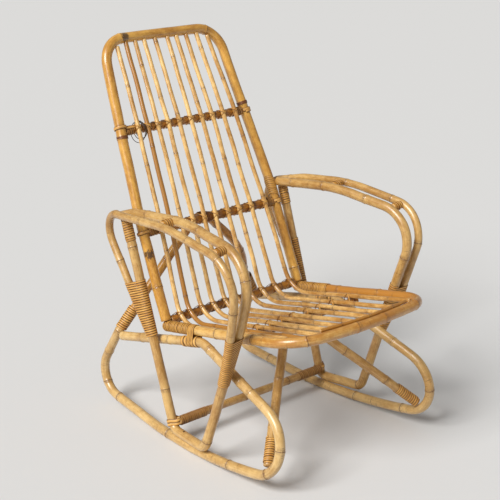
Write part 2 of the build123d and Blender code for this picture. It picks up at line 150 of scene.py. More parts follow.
ring_gap = 0.0045
joint_reach = 0.011
joint_limit = 0.06
still_end = 0.08
bevel = 0.0009
bevel_share = 0.93
stem_shift = 1.37


def cane_mesh(name, line, diameter, up, joints, seed, sway=0.0007, sides=24, tones=((0, 0.0),)):
    """Round stem carried along a line. Its radius is half the diameter with a slow swell, plus a
    collar, a ridge and a groove at each growth joint, which leans a little. Both ends are sawn off
    square, with a narrow bevel. The attributes are grain, the stem's own straightened place; joint,
    the way to the next joint; tone, how dark the stem is, which follows the given places and tones;
    and cut, 1 on a sawn end."""
    rng = np.random.default_rng(seed)
    lengths = lengths_of(line)
    total = lengths[-1]
    joints = np.append(np.asarray(joints, float), [-1, total + 1])
    near = (joints[:, None] + np.linspace(-joint_reach, joint_reach, 23)).ravel()
    along = np.concatenate([np.linspace(0, total, int(total / ring_gap)), near[(near > 0) & (near < total)]])
    along = np.unique(np.round(along, 5))
    middle = read_at(along, lengths, line)
    heading = unit(read_at(along, lengths, np.gradient(line, axis=0)))
    across = unit(np.cross(heading, up))
    over = np.cross(across, heading)
    ends = np.clip(np.minimum(along, total - along) / still_end, 0, 1)
    middle = middle + across * (sway * ends * waves(along, rng, 0.42))[:, None]
    middle = middle + over * (sway * ends * waves(along, rng, 0.37))[:, None]
    angle = np.linspace(0, 2 * np.pi, sides, endpoint=False)
    lean = rng.uniform(0.0004, 0.0013, len(joints))
    swing = rng.uniform(0, 2 * np.pi, len(joints))
    nearest = np.abs(along[:, None] - joints).argmin(1)
    slant = lean[nearest][:, None] * np.cos(angle - swing[nearest][:, None])
    to_joint = np.clip(along - joints[nearest], -joint_limit, joint_limit)[:, None] + slant
    swell = 1 + 0.014 * waves(along, rng, 0.21)[:, None]
    oval = 1 + 0.012 * np.cos(2 * angle + rng.uniform(0, 6))
    collar = 0.028 * np.exp(-(to_joint / 0.006) ** 2)
    ridge = 0.020 * np.exp(-((to_joint - 0.0018) / 0.0014) ** 2)
    groove = 0.022 * np.exp(-((to_joint + 0.0006) / 0.0009) ** 2)
    radius = diameter * (swell * oval / 2 + collar + ridge - groove)
    turn = np.cos(angle)[:, None] * across[:, None] + np.sin(angle)[:, None] * over[:, None]
    rings = middle[:, None] + radius[..., None] * turn
    head = middle[0] - heading[0] * bevel + bevel_share * (rings[0] - middle[0])
    tail = middle[-1] + heading[-1] * bevel + bevel_share * (rings[-1] - middle[-1])
    rings = np.concatenate([head[None], rings, tail[None]])
    stretch = np.concatenate([[-bevel], along, [total + bevel]])
    own_stretch = stretch + seed * stem_shift
    size = np.concatenate([bevel_share * radius[:1], radius, bevel_share * radius[-1:]])
    cut = np.zeros(size.shape)
    cut[[0, -1]] = 1
    shade = 0.12 * waves(own_stretch, rng, 0.5) + np.interp(stretch, *np.transpose(tones))
    grain = np.broadcast_arrays(size * np.cos(angle), size * np.sin(angle), own_stretch[:, None])
    values = {
        "grain": np.stack(grain, -1),
        "joint": np.concatenate([to_joint[:1], to_joint, to_joint[-1:]]),
        "tone": np.broadcast_to(shade[:, None], size.shape),
        "cut": cut,
    }
    return tube_mesh(name, [(rings, values)])


def place(mesh, material, slot, *nodes):
    """Puts a mesh on the chair as one piece that stands for the named CAD nodes."""
    piece = bpy.data.objects.new(mesh.name, mesh)
    bpy.context.scene.collection.objects.link(piece)
    mesh.materials.append(material)
    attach(piece, "root")
    if nodes:
        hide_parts(*nodes)
    return piece


class Wire:
    """An output of a shader node. Sums and products of it add Math nodes."""

    def __init__(self, tree, socket=None):
        self.tree = tree
        self.socket = socket

    def node(self, kind, settings, inputs, output=0):
        """Any node, with its settings first and then the values or links of its sockets."""
        made = self.tree.nodes.new(kind)
        for key, value in settings.items():
            setattr(made, key, value)
        for key, value in inputs.items():
            if isinstance(value, Wire):
                value.into(made, key)
            else:
                made.inputs[key].default_value = value
        return Wire(self.tree, made.outputs[output])

    def into(self, node, key):
        self.tree.links.new(self.socket, node.inputs[key])

    def maths(self, operation, first, second=0.0):
        return self.node("ShaderNodeMath", {"operation": operation}, {0: first, 1: second})

    def __add__(self, other):
        return self.maths("ADD", self, other)

    def __sub__(self, other):
        return self.maths("SUBTRACT", self, other)

    def __rsub__(self, other):
        return self.maths("SUBTRACT", other, self)

    def __mul__(self, other):
        return self.maths("MULTIPLY", self, other)

    def __abs__(self):
        return self.maths("ABSOLUTE", self)

    __radd__ = __add__
    __rmul__ = __mul__

    def ramp(self, low, high):
        """0 below low, 1 above high, and a soft step between."""
        inputs = {"Value": self, "From Min": low, "From Max": high}
        return self.node("ShaderNodeMapRange", {"interpolation_type": "SMOOTHSTEP"}, inputs)

    def noise(self, stretch, detail=3.0, roughness=0.55):
        """Soft noise read at this place, stretched along each axis."""
        spot = self.node("ShaderNodeVectorMath", {"operation": "MULTIPLY"}, {0: self, 1: stretch})
        inputs = {"Vector": spot, "Scale": 1.0, "Detail": detail, "Roughness": roughness}
        return self.node("ShaderNodeTexNoise", {}, inputs)

    def blend(self, low, high):
        """The first colour where this is 0, and the second where it is 1."""
        return self.node("ShaderNodeMix", {"data_type": "RGBA"}, {0: self, 6: low, 7: high}, 2)

    def attribute(self, name, output):
        return self.node("ShaderNodeAttribute", {"attribute_name": name}, {}, output)

    def object_place(self):
        return self.node("ShaderNodeTexCoord", {}, {}, 3)


def dye(red, green, blue):
    """A screen colour, 0 to 255, as the shader's linear colour."""
    share = np.array([red, green, blue]) / 255
    linear = np.where(share > 0.04045, ((share + 0.055) / 1.055) ** 2.4, share / 12.92)
    return (*linear, 1.0)


def new_material(name):
    material = bpy.data.materials.new(name)
    material.use_nodes = True
    return material, Wire(material.node_tree), material.node_tree.nodes["Principled BSDF"]


joint_brown = dye(92, 52, 20)
stain_brown = dye(58, 36, 20)
pith = dye(214, 172, 112)
pore_brown = dye(128, 84, 40)


def cane_finish(name, light, deep, ring, gloss, stains=(), cracks=0.0):
    """Skin of a cane: long streaks and slow patches between two colours, a dark broken line and a
    brown halo at each growth joint, fine cracks across the bends, specks, and pale sawn ends."""
    material, wire, shader = new_material(name)
    grain = wire.attribute("grain", 1)
    tone = wire.attribute("tone", 2)
    joint = wire.attribute("joint", 2)
    cut = wire.attribute("cut", 2)
    place = wire.object_place()
    streaks = grain.noise((260, 260, 5), 4.0, 0.6)
    fibres = grain.noise((1100, 1100, 26), 3.0, 0.6)
    patches = grain.noise((16, 16, 9), 4.0, 0.6)
    broken = grain.noise((210, 210, 160), 3.0)
    mottle = grain.noise((120, 120, 60), 5.0, 0.65)
    depth = (patches * 1.3 + streaks * 0.7 + mottle * 1.2 + fibres * 0.6 - 1.4 + tone).ramp(0.0, 1.0)
    colour = depth.blend(light, deep)
    halo = (1 - abs(joint + 0.002).ramp(0.001, 0.011)) * broken.ramp(0.3, 0.75)
    colour = (halo * 0.55).blend(colour, ring)
    line = (1 - abs(joint + (broken - 0.5) * 0.0014).ramp(0.0003, 0.0011)) * broken.ramp(0.22, 0.42)
    colour = (line * 0.92).blend(colour, ring)
    crazing = grain.noise((45, 45, 420), 3.0).ramp(0.60, 0.68)
    across = crazing * grain.noise((25, 25, 14), 2.0).ramp(0.46, 0.6)
    colour = (across * cracks).blend(colour, ring)
    specks = place.noise((420, 420, 420), 2.0).ramp(0.72, 0.77)
    colour = (specks * 0.6).blend(colour, ring)
    for spot, reach in stains:
        away = wire.node("ShaderNodeVectorMath", {"operation": "DISTANCE"}, {0: place, 1: spot}, 1)
        edge = away + (grain.noise((330, 330, 90), 4.0) - 0.5) * reach * 1.7
        colour = ((1 - edge.ramp(reach * 0.55, reach * 0.8)) * 0.86).blend(colour, stain_brown)
    pores = grain.noise((1500, 1500, 0.01), 2.0).ramp(0.55, 0.68)
    colour = cut.ramp(0.5, 0.6).blend(colour, pores.blend(pith, pore_brown))
    colour.into(shader, "Base Color")
    (patches * 0.2 + fibres * 0.16 + halo * 0.2 + (gloss - 0.18)).into(shader, "Roughness")
    shader.inputs["Coat Weight"].default_value = 0.8
    shader.inputs["Coat Roughness"].default_value = 0.26
    height = fibres * 0.5 + streaks * 0.7 - line * 1.6 - across * cracks
    relief = wire.node("ShaderNodeBump", {}, {"Strength": 0.55, "Distance": 0.0004, "Height": height})
    relief.into(shader, "Normal")
    return material


hoop_cane = 0.028
hoop_up = (0, 0.91, -0.41)
post_foot = (237, 92, 296)
post_bend = (234, 215, 583)
hoop_corner = (195, 409, 1010)
hoop_line = bent(both_sides(mm(post_foot, post_bend, hoop_corner)), mm(300, 75, 75, 300))
# Each foot is sawn off this many steps of the line before the end of the route.
foot_cut = 15
hoop_line = hoop_line[foot_cut:-foot_cut]
hoop_joints = mm(38, 263, 529, 774, 1066, 1365, 1578, 1768)
knot = point((-128, 398, 1014))
scuff = point((-242, 158, 485))
stains = ((tuple(knot), 0.017), (tuple(scuff), 0.019))
golden_skin = cane_finish(
    "golden_cane_skin", dye(228, 174, 80), dye(170, 112, 32), joint_brown, 0.34, stains
)
hoop_mesh = cane_mesh("back_hoop_cane", hoop_line, hoop_cane, hoop_up, hoop_joints, 3)
place(hoop_mesh, golden_skin, "honey_cane", "back_hoop")


# Cross rails: straight dark canes butted between the posts, one at the shoulders, one at the arms
# and one at the rear of the seat, with a thinner one under the slats half way along the seat.
def rail_line(half, depth, height):
    """Straight level line from one side of the chair to the other."""
    return evenly(mm((-half, depth, height), (half, depth, height)))


dark_skin = cane_finish("dark_cane_skin", dye(196, 132, 50), dye(126, 74, 20), dye(56, 28, 8), 0.42)
upward = (0, 0, 1)
upper_rail = (200.3, 305.9, 783)
lower_rail = (220.1, 194.4, 535)
rear_rail = (222.4, 100.1, 315)
middle_rail = (221.9, -145, 327.9)
upper_rail_cane = 0.022
lower_rail_cane = 0.025
rear_rail_cane = 0.022
middle_rail_cane = 0.020
rails = {
    "upper_cross_rail": (upper_rail, upper_rail_cane, (90, 300)),
    "lower_cross_rail": (lower_rail, lower_rail_cane, (150, 370)),
    "seat_rear_rail": (rear_rail, rear_rail_cane, (60, 230, 390)),
    "seat_middle_rail": (middle_rail, middle_rail_cane, (110, 320)),
}
for seed, (node, (spot, cane, joints)) in enumerate(rails.items(), 10):
    mesh = cane_mesh(f"{node}_cane", rail_line(*spot), cane, upward, mm(*joints), seed)
    place(mesh, dark_skin, "dark_cane", node)


# Seat hoop: one thick cane bent round the sides and the front, which bows forward and dips at the
# rear. It is browner on the right and in front than on the left.
# A thin cap strip lies along its front, over the ends of the slats.
honey_skin = cane_finish(
    "honey_cane_skin", dye(226, 184, 106), dye(178, 118, 40), joint_brown, 0.4, cracks=0.6
)
seat_cane = 0.026
seat_rear = (235, 79.1, 305.5)
seat_corner = (239, -384, 394)
seat_crown = (0, -414.5, 400)
seat_end = (234.8, 103.7, 300.8)
seat_side = mm(seat_end, seat_corner)
seat_route = np.vstack([seat_side, mm(seat_crown), mirrored(seat_side)[::-1]])
seat_line = bent(seat_route, mm(90, 600, 90))
seat_joints = mm(175, 325, 530, 665, 760, 905, 1061, 1200, 1325)
seat_tones = ((0, 0.55), (0.46, 0.5), (0.53, 0.3), (0.96, 0.25), (1.04, -0.1))
seat_mesh = cane_mesh("seat_hoop_cane", seat_line, seat_cane, upward, seat_joints, 21, tones=seat_tones)
place(seat_mesh, honey_skin, "honey_cane", "seat_hoop")
cap_cane = 0.009
cap_end = mm((150, -382.7, 408.9))
cap_crown = mm((0, -401.8, 412.7))
cap_line = bent(np.vstack([cap_end, cap_crown, mirrored(cap_end)]), mm(600))
cap_joints = mm(60, 150, 240)
cap_mesh = cane_mesh(
    "seat_cap_strip_cane", cap_line, cap_cane, upward, cap_joints, 22, sides=16, tones=((0, 0.3),)
)
place(cap_mesh, golden_skin, "slat_cane", "seat_cap_strip")


# Slats: thin canes that hang from the top of the hoop, pass in front of the cross rails, bend
# forward over the rear rail and lie along the seat up to its front. The second one is darker.
slat_skin = cane_finish(
    "slat_cane_skin", dye(244, 202, 128), dye(168, 114, 42), joint_brown, 0.36, cracks=0.3
)
slat_heads = (
    (-156.7, 395.8, 985.7), (-125, 401.3, 995.8), (-93.8, 401.4, 996), (-63.6, 401.4, 996),
    (-26.5, 401.4, 996), (15.5, 401.4, 996), (46.9, 401.4, 996), (81.1, 401.4, 996),
    (118.3, 401.4, 996), (154.3, 396.5, 987),
)
slat_feet = (-206, -174, -133, -91, -50, -11, 40, 84, 132, 192)
slat_fronts = (-334, -367.5, -378.3, -383.9, -389.2, -391.8, -390.1, -384.8, -378.4, -353.2)
slat_tones = (0.0, 0.6, 0.02, -0.05, 0.06, -0.08, 0.08, -0.02, 0.0, 0.1)
slat_joints = (
    (112, 330, 560, 800, 905, 1040), (294, 520, 700, 860, 1000, 1120),
    (70, 240, 470, 690, 880, 1010, 1130), (164, 324, 560, 760, 930, 1090),
    (12, 220, 450, 640, 830, 970, 1100), (59, 365, 590, 780, 900, 1050, 1160),
    (196, 420, 610, 800, 940, 1080), (160, 363, 579, 770, 910, 1030, 1150),
    (44, 388, 600, 790, 930, 1060), (130, 300, 480, 690, 880, 1010, 1110),
)
slat_cane = 0.0124
front_spread = 1.04
front_height = 396
front_fall = 0.0241
slat_notch = point((0, -3, 1))
slat_reach = 0.0035
upper_pass = (289.5, 790.4)
lower_pass = (176.5, 542.7)
slat_foot = (74.3, 300.1)
back_end = 0.72
seat_start = 0.82
seat_wear = 0.16
slat_lines = []
for number, (head, foot, front) in enumerate(zip(slat_heads, slat_feet, slat_fronts)):
    slope = (head[0] - foot) / (head[2] - slat_foot[1])
    upper = (foot + slope * (upper_pass[1] - slat_foot[1]), *upper_pass)
    lower = (foot + slope * (lower_pass[1] - slat_foot[1]), *lower_pass)
    tip = (foot * front_spread, front, front_height - front_fall * abs(foot * front_spread))
    notch = point(head) + unit(point(head) - point(upper)) * slat_reach + slat_notch
    slat_line = bent(np.vstack([notch, mm(upper, lower, (foot, *slat_foot), tip)]), mm(400, 400, 75))
    slat_lines.append(slat_line)
    tone = slat_tones[number]
    mesh = cane_mesh(
        f"slat_{number + 1:02d}_cane", slat_line, slat_cane, (1, 0, 0), mm(*slat_joints[number]),
        31 + number, sway=0.0009, sides=16, tones=((back_end, tone), (seat_start, tone + seat_wear)),
    )
    place(mesh, slat_skin, "slat_cane", f"slat_{number + 1:02d}")


# Arms and legs: on each side one peeled, paler cane runs from the post along the arm, down as the
# front upright, round a tight V on the runner and up again as the rear upright under the arm.
# A thinner outer cane lies beside the arm and comes down both uprights, and stubs keep them apart.
def mirror_image(line, side):
    """The line of a right-hand piece on its own side."""
    return line if side == "right" else mirrored(line)


peeled_skin = cane_finish(
    "peeled_cane", dye(214, 174, 106), dye(162, 114, 48), joint_brown, 0.42, cracks=0.45
)
arm_cane = 0.025
outer_cane = 0.021
spacer_cane = 0.021
sideways = (1, 0, 0)
arm_rear = (253, 204, 591)
arm_crest = (262, -17, 615)
arm_front = (284, -300, 583)
front_knee = (277.5, -243, 410)
foot_front = (286, -114, 44)
foot_rear = (270, 33, 37.4)
upright_head = (276.1, 212.6, 580)
leg_route = (arm_rear, arm_crest, arm_front, front_knee, foot_front, foot_rear, upright_head)
outer_rear_end = (279, 161, 347)
outer_crest = (316, -9, 617)
outer_front = (333, -295, 587)
outer_front_end = (303, -229, 347)
inner_drops = {"right": 3, "left": 0}
outer_drops = {"right": 0, "left": 7}
outer_rears = {"right": (281, 313, 562), "left": (281, 323, 579)}
outer_humps = {"right": [(302, 150, 602)], "left": []}
outer_bends = {"right": (54, 200, 560, 92), "left": (54, 560, 92)}
arm_tails = {"right": [], "left": [(262, 248, 575)]}
arm_bends = {"right": (560, 95, 400, 28, 26), "left": (90, 560, 95, 400, 28, 26)}
arm_level = 0.5


def lowered(route, drop):
    """The route with its points at the level of the arms lowered along the post."""
    move = point(post_foot) - point(post_bend)
    return route + (route[:, 2:] > arm_level) * (0, 1, 1) * move * (drop / 1000 / -move[2])


def at_depth(line, depth):
    """The point of a line at a depth, at the level of the arms."""
    top = line[line[:, 2] > arm_level]
    return top[np.abs(top[:, 1] - depth).argmin()]


arm_joints = {
    "right": (60, 178, 330, 560, 800, 1010, 1290, 1540),
    "left": (110, 229, 331, 546, 794, 1034, 1308, 1534, 1691),
}
outer_joints = {"right": (90, 250, 330, 540, 700, 860), "left": (134, 300, 430, 640, 760, 900)}
spacer_depths = {
    "arm_middle_spacer": {"right": 0.002, "left": 0.025},
    "arm_front_spacer": {"right": -0.206, "left": -0.196},
}
arm_routes = {}
outer_routes = {}
spacer_ends = {}
for seed, side in enumerate(("right", "left")):
    arm_route = mm(*arm_tails[side], *leg_route)
    arm_routes[side] = mirror_image(lowered(arm_route, inner_drops[side]), side)
    arm_line = bent(arm_routes[side], mm(*arm_bends[side]))
    mesh = cane_mesh(
        f"arm_leg_{side}_cane", arm_line, arm_cane, sideways, mm(*arm_joints[side]), 51 + seed
    )
    place(mesh, peeled_skin, "honey_cane", f"arm_leg_{side}")
    outer_top = lowered(mm(outer_crest, outer_front), outer_drops[side])
    outer_back = mm(outer_rear_end, outer_rears[side], *outer_humps[side])
    outer_routes[side] = mirror_image(np.vstack([outer_back, outer_top, mm(outer_front_end)]), side)
    outer_line = bent(outer_routes[side], mm(*outer_bends[side]))
    mesh = cane_mesh(
        f"outer_arm_{side}_cane", outer_line, outer_cane, sideways, mm(*outer_joints[side]), 55 + seed
    )
    place(mesh, peeled_skin, "honey_cane", f"outer_arm_{side}")
    for number, (node, depths) in enumerate(spacer_depths.items()):
        inner = at_depth(arm_line, depths[side])
        outer = at_depth(outer_line, depths[side])
        way = unit(outer - inner)
        ends = np.array([inner + way * arm_cane / 2, outer - way * outer_cane / 2])
        spacer_ends[node, side] = ends
        mesh = cane_mesh(
            f"{node}_{side}_stub", evenly(ends), spacer_cane, upward, (), 58 + seed + 2 * number,
            tones=((0, 0.25),),
        )
        place(mesh, golden_skin, "honey_cane", f"{node}_{side}")


# Rockers: on each side one cane makes the upper bar, the slope to the front tip, the long runner
# on the floor and the rear tip, and ends where the brace goes on. Bending has cracked its skin.
runner_skin = cane_finish(
    "rocker_cane_skin", dye(222, 186, 122), dye(178, 134, 68), joint_brown, 0.4, cracks=0.9
)
rocker_cane = 0.025
bar_end = (248, 284, 221)
bar_bend = (240, -55, 303)
front_tip = (281, -627, 104)
runner = (274, -63, -2.1)
rear_tip = (246, 427, 45)
rocker_turn = (249, 304, 226)
rocker_end = (226, 294.6, 259.9)
rocker_route = mm(bar_end, bar_bend, front_tip, runner, rear_tip, rocker_turn, rocker_end)
rocker_line = bent(rocker_route, mm(62, 88, 1600, 66, 30), ease=0.02)
rocker_joints = {
    "right": (110, 240, 420, 560, 735, 880, 1056, 1240, 1400, 1530, 1640),
    "left": (95, 215, 380, 512, 560, 731, 819, 965, 1223, 1463, 1533, 1640, 1727),
}
for seed, side in enumerate(("right", "left")):
    mesh = cane_mesh(
        f"rocker_{side}_cane", mirror_image(rocker_line, side), rocker_cane, sideways,
        mm(*rocker_joints[side]), 61 + seed, sway=0.0004,
    )
    place(mesh, runner_skin, "honey_cane", f"rocker_{side}")


# Braces: a hoop from one rocker's rear end behind the lower cross rail to the other, a hoop from
# rocker to rocker under the seat, and a straight stretcher between the V feet.
brace_cane = 0.024
strut_cane = 0.024
stretcher_cane = 0.022
brace_foot = (225.8, 294.5, 260.2)
brace_knee = (191.8, 280.7, 310.2)
brace_bend = (125, 217, 415)
apex_right = (-1, 219.3, 532)
apex_left = (-41, 219.3, 532)
brace_right = mm(apex_left, apex_right, brace_bend, brace_knee, brace_foot)
brace_line = bent(np.vstack([mirrored(mm(brace_foot)), brace_right]), mm(22, 22, 270, 100), ease=0.006)
strut_foot = (270, -334, 77)
strut_apex = (42, -145, 305.5)
strut_line = bent(both_sides(mm(strut_foot, strut_apex)), mm(60, 60))
stretcher = (261, 25, 61.4)
braces = {
    "rear_brace_hoop": (brace_line, brace_cane, (0, 1, 0), (90, 200, 420, 560, 660), golden_skin),
    "front_strut_hoop": (strut_line, strut_cane, (0, 0.8, -0.6), (110, 250, 420, 590, 720), peeled_skin),
    "stretcher": (rail_line(*stretcher), stretcher_cane, upward, (100, 230, 390), peeled_skin),
}
for seed, (node, (line, cane, up, joints, finish)) in enumerate(braces.items(), 71):
    mesh = cane_mesh(f"{node}_cane", line, cane, up, mm(*joints), seed, tones=((0, 0.12),))
    place(mesh, finish, "honey_cane", node)


# Arm lashings: a long strip of cane peel, wetted and wound tightly round each upright and the end
# of the outer arm cane beside it. It runs from one to the other and back, and dries hard.
peel_groove_shade = dye(82, 40, 10)
peel_spot = dye(96, 52, 18)


def peel_finish(name, light, deep):
    """Peel strip: streaks along it, turns that differ in colour, and dark edges where strips meet, which are
    painted shade of the grooves between the turns.
    """
    material, wire, shader = new_material(name)
    grain = wire.attribute("grain", 1)
    streaks = grain.noise((1400, 1400, 40), 3.0, 0.6)
    spells = grain.noise((60, 60, 22), 3.0, 0.6)
    colour = (spells * 1.5 + streaks * 0.6 - 0.55).ramp(0.0, 1.0).blend(light, deep)
    dark = grain.noise((200, 200, 60), 3.0).ramp(0.64, 0.74)
    colour = (dark * 0.5).blend(colour, peel_spot)
    # Painted shade: each strip is darkened towards its edges to stand in for the shade in the grooves
    # between turns.
    edge = wire.attribute("edge", 2).ramp(0.4, 0.95)
    colour = (edge * 0.9).blend(colour, peel_groove_shade)
    colour.into(shader, "Base Color")
    (streaks * 0.3 + 0.28).into(shader, "Roughness")
    relief = wire.node("ShaderNodeBump", {}, {"Strength": 0.5, "Distance": 0.0003, "Height": streaks})
    relief.into(shader, "Normal")
    return material


def place_peel(name, strips, width, thickness, seed, material, *nodes):
    """One piece of one or more strips. A strip is its line and the way outwards at each point of
    it, and a low oval with blunt edges is carried along the line, flat side to the cane."""
    angle = np.linspace(0, 2 * np.pi, 12, endpoint=False)
    flat = np.sign(np.cos(angle)) * np.abs(np.cos(angle)) ** 0.7 * width / 2
    high = np.sin(angle) * thickness / 2
    tubes = []
    for number, (line, outward) in enumerate(strips):
        heading = unit(np.gradient(line, axis=0))
        outward = unit(outward - heading * (outward * heading).sum(1)[:, None])
        beside = np.cross(heading, outward)
        rings = line[:, None] + beside[:, None] * flat[:, None] + outward[:, None] * high[:, None]
        lengths = lengths_of(line)[:, None] + seed + number * 0.77
        grain = np.stack(np.broadcast_arrays(flat, high, lengths), -1)
        # How near the strip's edge a point is; the peel finishes read it to paint groove shade along the
        # edges.
        edge = np.broadcast_to(np.abs(flat) * 2 / width, rings.shape[:2])
        tubes.append((rings, {"grain": grain, "edge": edge}))
    place(tube_mesh(name, tubes), material, "cane_peel", *nodes)


def straight(start, way, length):
    """Points of a straight run, as a function of the shares of it that are passed."""
    return lambda share: start + way * (length * share)[:, None]


def pair_strip(first, second, first_radius, second_radius, turns):
    """A strip round two canes: a half circle round each and a straight run between, by length.
    first and second give the canes' middles, and second_radius the radius, along the lashing."""
    share = np.linspace(0, 1, int(turns * 56) + 1)
    one = first(share)
    two = second(share)
    axis = unit(one[-1] - one[0])
    across = two - one
    across = across - axis * (across @ axis)[:, None]
    apart = np.linalg.norm(across, axis=1)
    across = across / apart[:, None]
    side = np.cross(axis, across)
    near = np.full_like(share, first_radius)
    far = second_radius(share)
    near_done = np.pi * near
    over_done = near_done + apart
    far_done = over_done + np.pi * far
    way = (share * turns % 1) * (far_done + apart)
    run = np.clip((way - near_done) / apart, 0, 1)
    back = np.clip((way - far_done) / apart, 0, 1)
    rounding = np.clip(way / near, 0, np.pi) + np.pi / 2
    closing = np.clip((way - over_done) / far, 0, np.pi) - np.pi / 2
    legs = [way < near_done, way < over_done, way < far_done]
    zero = np.zeros_like(way)
    up = np.select(legs, [np.sin(rounding), zero - 1, np.sin(closing)], 1.0)[:, None]
    out = np.select(legs, [np.cos(rounding), zero, np.cos(closing)], 0.0)[:, None]
    size = np.select(legs, [near, near + (far - near) * run, far], far + (near - far) * back)[:, None]
    base = np.select(legs, [zero, run, zero + 1], 1 - back)[:, None]
    outward = across * out + side * up
    return one + (two - one) * base + outward * size, unit(outward)


def at_height(high, low, height):
    """The point at a height on the straight line between two points."""
    return low + (high - low) * ((height - low[2]) / (high[2] - low[2]))


peel = peel_finish("cane_peel_strip", dye(230, 178, 94), dye(176, 116, 46))
strip_width = 0.0056
strip_thickness = 0.0020
pitch = 0.0062
arm_turns = 24
taper_side = 0.003
taper_growth = 0.002


def arm_strip(high, low, outer_high, outer_end, height):
    """Over an upright and the end of an outer arm cane, tapering to the upright below that end."""
    top = at_height(high, low, height)
    course = unit(low - high)
    length = arm_turns * pitch
    foot = top + course * length
    end_share = (outer_end - top) @ course / length
    outer_side = outer_end - course * ((outer_end - foot) @ course)
    taper_foot = foot + unit(outer_side - foot) * taper_side
    slope = (outer_high - outer_end) / ((outer_high - outer_end) @ course)

    def taper(share):
        return np.clip((share - end_share) / (1 - end_share), 0, 1)

    def outer(share):
        level = np.minimum(share, end_share) * length
        down = outer_end + slope * (level - end_share * length)[:, None]
        return down + (taper_foot - outer_end) * taper(share)[:, None]

    def radius(share):
        return (outer_cane + strip_thickness) / 2 + taper_growth * taper(share)

    upright_radius = (arm_cane + strip_thickness) / 2
    return pair_strip(straight(top, course, length), outer, upright_radius, radius, arm_turns)


rear_lashing_top = 0.420
front_lashing_top = 0.384
for side in ("right", "left"):
    knee, toe, heel, head = arm_routes[side][-4:]
    outer_tail, outer_back = outer_routes[side][:2]
    outer_bow, outer_tip = outer_routes[side][-2:]
    lashings = {
        f"rear_arm_lashing_{side}": arm_strip(head, heel, outer_back, outer_tail, rear_lashing_top),
        f"front_arm_lashing_{side}": arm_strip(knee, toe, outer_bow, outer_tip, front_lashing_top),
    }
    for seed, (node, strip) in enumerate(lashings.items(), 1):
        place_peel(f"{node}_peel", [strip], strip_width, strip_thickness, seed, peel, node)


# Wraps: plain turns of peel wound round one cane. They bind the rocker's rear end to the brace and
# the strut to the slope, and cover the ends of the stretcher, the cross rails and the seat hoop.
def ring_strip(start, course, radius, pitch, turns, seed, lean=0.0):
    """A strip round one cane: a helix whose radius and pitch waver a little from turn to turn."""
    rng = np.random.default_rng(seed)
    turn = np.linspace(0, turns, int(turns * 36) + 1)
    course = unit(np.asarray(course, float))
    first = unit(np.cross(course, (0.3, 0.5, 0.8)))
    second = np.cross(course, first)
    angle = 2 * np.pi * turn[:, None] + seed
    outward = np.cos(angle) * first + np.sin(angle) * second
    reach = radius + 0.00025 * waves(turn, rng, 2.3)
    rise = pitch * (turn + 0.10 * waves(turn, rng, 3.1)) + lean * np.sin(angle[:, 0])
    return start + course * rise[:, None] + outward * reach[:, None], outward


def on_side(spot, side):
    """A point of the right side, in millimetres, on its own side in metres."""
    return mirror_image(point(spot), side)


brown_peel = peel_finish("brown_cane_peel", dye(198, 146, 74), dye(138, 92, 38))
gold_peel = peel_finish("golden_cane_peel", dye(218, 166, 82), dye(164, 112, 44))
brace_wrap = 0.028
brace_butt_radius = 0.014
strut_gap = 0.004
stretcher_gap = 0.0049
wrap_gap = 0.002
for seed, side in enumerate(("right", "left")):
    brace_way = unit(on_side(rocker_end, side) - on_side(rocker_turn, side))
    strut_way = unit(on_side(strut_apex, side) - on_side(strut_foot, side))
    seat_way = unit(on_side(seat_corner, side) - on_side(seat_rear, side))
    inward = mirror_image(np.array([-1.0, 0, 0]), side)
    wraps = {
        "brace_lashing": (rocker_end, brace_way, -brace_wrap, brace_butt_radius, 11, peel),
        "strut_lashing": (strut_foot, strut_way, strut_gap, strut_cane / 2, 11, peel),
        "stretcher_wrap": (stretcher, inward, stretcher_gap, stretcher_cane / 2, 14, brown_peel),
        "upper_cross_rail_wrap": (upper_rail, inward, wrap_gap, upper_rail_cane / 2, 3, brown_peel),
        "lower_cross_rail_wrap": (lower_rail, inward, wrap_gap, lower_rail_cane / 2, 3, brown_peel),
        "seat_rail_wrap": (seat_end, seat_way, wrap_gap, seat_cane / 2, 20, gold_peel),
    }
    for number, (node, (end, way, gap, radius, turns, finish)) in enumerate(wraps.items()):
        start = on_side(end, side) + way * gap
        strip = ring_strip(start, way, radius + strip_thickness / 2, pitch, turns, seed * 10 + number)
        name = f"{node}_{side}"
        place_peel(f"{name}_peel", [strip], strip_width, strip_thickness, 5 + number, finish, name)


# Seat ties: where the side of the seat rests on the rocker's upper bar, four turns of golden peel
# bind the two canes, and a broad pale strip is wound round the bar before and behind them.
def steady(radius):
    """The same radius all along a lashing."""
    return lambda share: np.full_like(share, radius)


pale_peel = peel_finish("pale_cane_peel", dye(230, 182, 104), dye(190, 132, 58))
tie_turns = 4
tie_length = tie_turns * pitch
tie_width = 0.0064
tie_from_rear = 0.0865
tie_lift = 0.0012
band_width = 0.0118
band_pitch = 0.0125
band_turns = 5
band_back = 0.028
for seed, side in enumerate(("right", "left")):
    seat_way = unit(on_side(seat_corner, side) - on_side(seat_rear, side))
    bar_way = unit(on_side(bar_bend, side) - on_side(bar_end, side))
    seat_at = on_side(seat_rear, side) + seat_way * tie_from_rear
    bar_at = on_side(bar_end, side) + bar_way * ((seat_at - on_side(bar_end, side))[1] / bar_way[1])
    strip = pair_strip(
        straight(seat_at, seat_way, tie_length), straight(bar_at, bar_way, tie_length),
        seat_cane / 2 + tie_lift, steady(rocker_cane / 2 + tie_lift), tie_turns,
    )
    node = f"seat_tie_{side}"
    place_peel(f"{node}_peel", [strip], tie_width, strip_thickness, 13, gold_peel, node)
    band_radius = (rocker_cane + strip_thickness) / 2
    band = ring_strip(bar_at - bar_way * band_back, bar_way, band_radius, band_pitch, band_turns, seed + 14)
    place_peel(f"bar_bands_{side}", [band], band_width, strip_thickness, 15, pale_peel)


